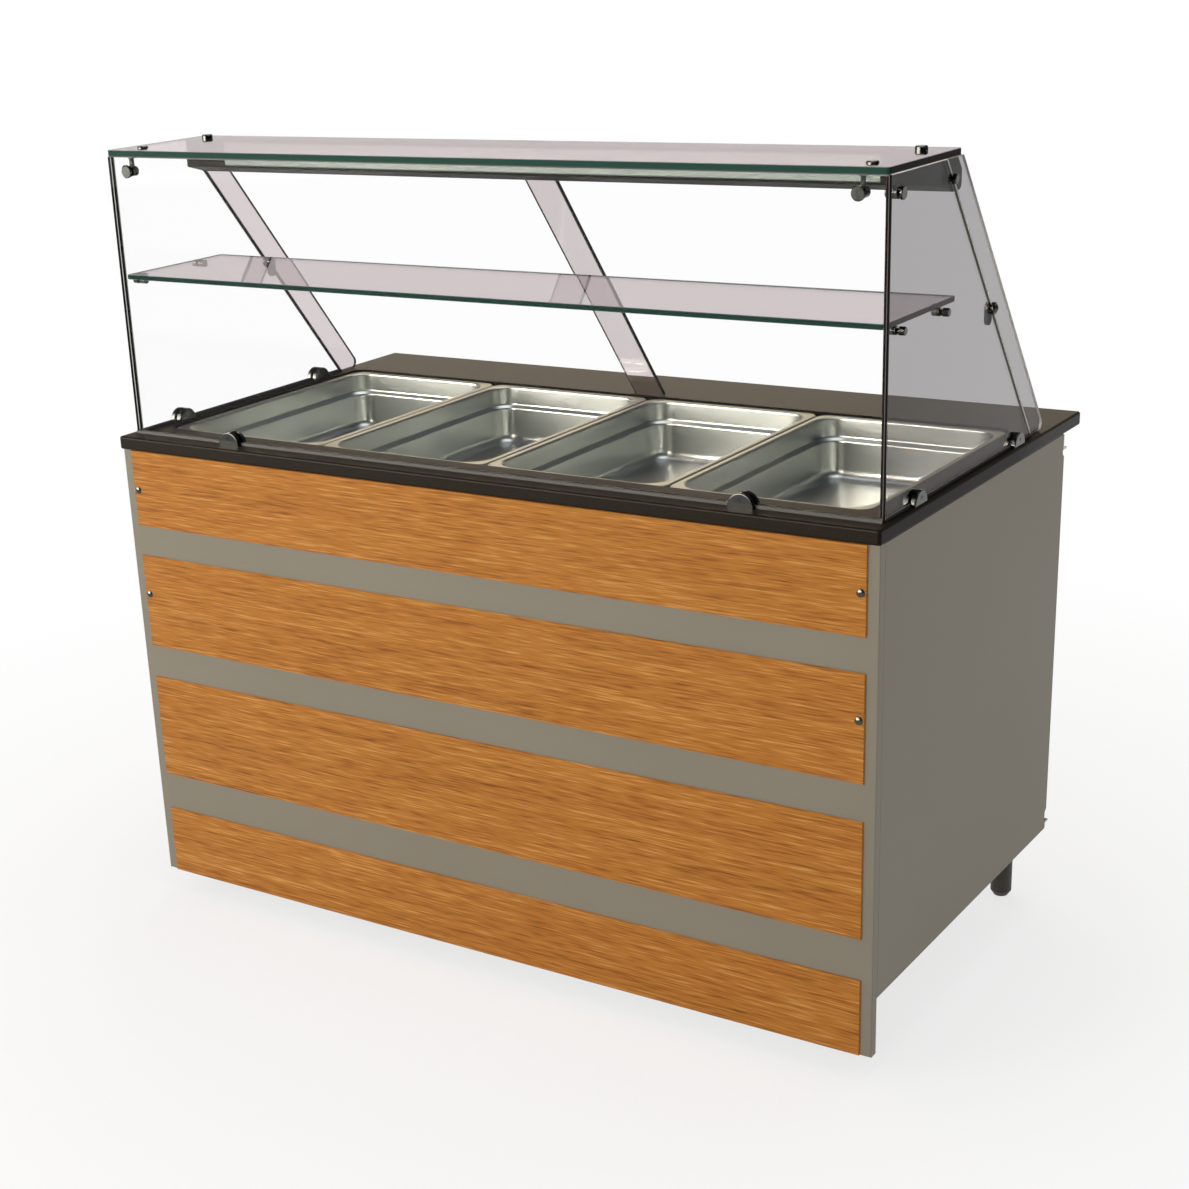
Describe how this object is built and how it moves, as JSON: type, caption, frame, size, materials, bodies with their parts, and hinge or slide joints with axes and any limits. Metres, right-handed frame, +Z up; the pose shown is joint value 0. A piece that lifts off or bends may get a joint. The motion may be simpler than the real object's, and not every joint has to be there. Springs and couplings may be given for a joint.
{
  "type": "refrigerated buffet counter",
  "caption": "Free-standing cold buffet counter: steel cabinet faced with wood boards, dark worktop with a row of gastronorm pans, glass sneeze guard with shelf and lamp, hinged rear doors",
  "frame": {"origin": "on the floor, at the centre of the counter's plan", "axes": "X along the counter to the customer's right, Y from the customer to the staff side, Z up"},
  "size_m": [1.4, 0.785, 1.326],
  "materials": {
    "stone": "polished dark composite stone",
    "wood": "orange-brown veneer, satin",
    "panel_paint": "grey-beige powder coat",
    "frame_paint": "black paint",
    "stainless": "brushed stainless steel",
    "chrome": "polished chrome",
    "glass": "clear float glass, ground edges",
    "lamp_metal": "dark anodised aluminium",
    "aluminium": "bare aluminium fins",
    "opal": "opal diffuser",
    "foam": "rigid foam",
    "copper": "drawn copper and brass",
    "lever_plastic": "dipped red lever",
    "black_plastic": "black moulded plastic",
    "key_plastic": "dark moulded keys"
  },
  "bodies": {
    "counter": {"base_clips": "chrome", "base_frame": "frame_paint", "base_tray": "stainless", "board_screws": "chrome", "cable_gland": "black_plastic", "centre_strut_glass": "glass", "compressor": "frame_paint", "condenser_coil": "aluminium", "control_fascia": "black_plastic", "corner_connectors": "chrome", "door_hinges": "stainless", "drain_pipe": "copper", "evaporator_coil": "copper", "fan_motor": "black_plastic", "fan_shroud": "frame_paint", "front_board_1": "wood", "front_board_2": "wood", "front_board_3": "wood", "front_board_4": "wood", "front_glass": "glass", "front_panel": "panel_paint", "lamp_bolts": "chrome", "lamp_diffuser": "opal", "lamp_housing": "lamp_metal", "lamp_tube": "glass", "left_side_glass": "glass", "left_side_panel": "panel_paint", "left_strut_glass": "glass", "machine_cover": "panel_paint", "partition_panel": "panel_paint", "refrigerant_lines": "copper", "right_side_glass": "glass", "right_side_panel": "panel_paint", "right_strut_glass": "glass", "shelf_glass": "glass", "shelf_studs": "chrome", "strut_clamps": "chrome", "thermostat": "black_plastic", "top_glass": "glass", "well_insulation": "foam", "well_tank": "stainless", "worktop": "stone"},
    "pan_1": {"pan_1": "stainless"},
    "pan_2": {"pan_2": "stainless"},
    "pan_3": {"pan_3": "stainless"},
    "pan_4": {"pan_4": "stainless"},
    "left_door": {"left_door": "panel_paint", "left_door_handle": "chrome"},
    "right_door": {"right_door": "panel_paint", "right_door_handle": "chrome"},
    "fan": {"fan_blades": "black_plastic"},
    "cooling_switch": {"rocker_cooling": "key_plastic"},
    "lamp_switch": {"rocker_lamp": "key_plastic"},
    "key_up": {"thermostat_key_up": "key_plastic"},
    "key_down": {"thermostat_key_down": "key_plastic"},
    "drain_lever": {"drain_lever": "lever_plastic"},
    "leg_front_left": {"leg_front_left": "black_plastic"},
    "leg_front_right": {"leg_front_right": "black_plastic"},
    "leg_rear_left": {"leg_rear_left": "black_plastic"},
    "leg_rear_right": {"leg_rear_right": "black_plastic"}
  },
  "joints": [
    {"name": "pan_1_tip", "type": "hinge", "parent": "counter", "child": "pan_1", "pos_m": [-0.50125, 0.228, 0.8421], "axis": [-1, 0, 0], "range_deg": [0, 25]},
    {"name": "pan_2_tip", "type": "hinge", "parent": "counter", "child": "pan_2", "pos_m": [-0.17475, 0.228, 0.8421], "axis": [-1, 0, 0], "range_deg": [0, 25]},
    {"name": "pan_3_tip", "type": "hinge", "parent": "counter", "child": "pan_3", "pos_m": [0.15175, 0.228, 0.8421], "axis": [-1, 0, 0], "range_deg": [0, 25]},
    {"name": "pan_4_tip", "type": "hinge", "parent": "counter", "child": "pan_4", "pos_m": [0.47825, 0.228, 0.8421], "axis": [-1, 0, 0], "range_deg": [0, 25]},
    {"name": "left_door_swing", "type": "hinge", "parent": "counter", "child": "left_door", "pos_m": [-0.242, 0.33, 0.473], "axis": [0, 0, 1], "range_deg": [0, 100]},
    {"name": "right_door_swing", "type": "hinge", "parent": "counter", "child": "right_door", "pos_m": [0.688, 0.33, 0.473], "axis": [0, 0, -1], "range_deg": [0, 100]},
    {"name": "fan_spin", "type": "hinge", "parent": "counter", "child": "fan", "pos_m": [-0.47, 0.2125, 0.285], "axis": [0, 1, 0], "continuous": true},
    {"name": "cooling_switch_rock", "type": "hinge", "parent": "counter", "child": "cooling_switch", "pos_m": [-0.4, 0.3196, 0.75], "axis": [-1, 0, 0], "range_deg": [0, 14]},
    {"name": "lamp_switch_rock", "type": "hinge", "parent": "counter", "child": "lamp_switch", "pos_m": [-0.34, 0.3196, 0.75], "axis": [-1, 0, 0], "range_deg": [0, 14]},
    {"name": "key_up_press", "type": "slide", "parent": "counter", "child": "key_up", "axis": [0, -1, 0], "range_m": [0, 0.0008], "stiffness_N_per_m": 900},
    {"name": "key_down_press", "type": "slide", "parent": "counter", "child": "key_down", "axis": [0, -1, 0], "range_m": [0, 0.0008], "stiffness_N_per_m": 900},
    {"name": "drain_lever_turn", "type": "hinge", "parent": "counter", "child": "drain_lever", "pos_m": [0.45, 0.145, 0.575], "axis": [0, 1, 0], "range_deg": [0, 90]},
    {"name": "leg_front_left_turn", "type": "hinge", "parent": "counter", "child": "leg_front_left", "pos_m": [-0.631, -0.306, 0.06], "axis": [0, 0, 1], "continuous": true},
    {"name": "leg_front_right_turn", "type": "hinge", "parent": "counter", "child": "leg_front_right", "pos_m": [0.631, -0.306, 0.06], "axis": [0, 0, 1], "continuous": true},
    {"name": "leg_rear_left_turn", "type": "hinge", "parent": "counter", "child": "leg_rear_left", "pos_m": [-0.631, 0.306, 0.06], "axis": [0, 0, 1], "continuous": true},
    {"name": "leg_rear_right_turn", "type": "hinge", "parent": "counter", "child": "leg_rear_right", "pos_m": [0.631, 0.306, 0.06], "axis": [0, 0, 1], "continuous": true}
  ]
}
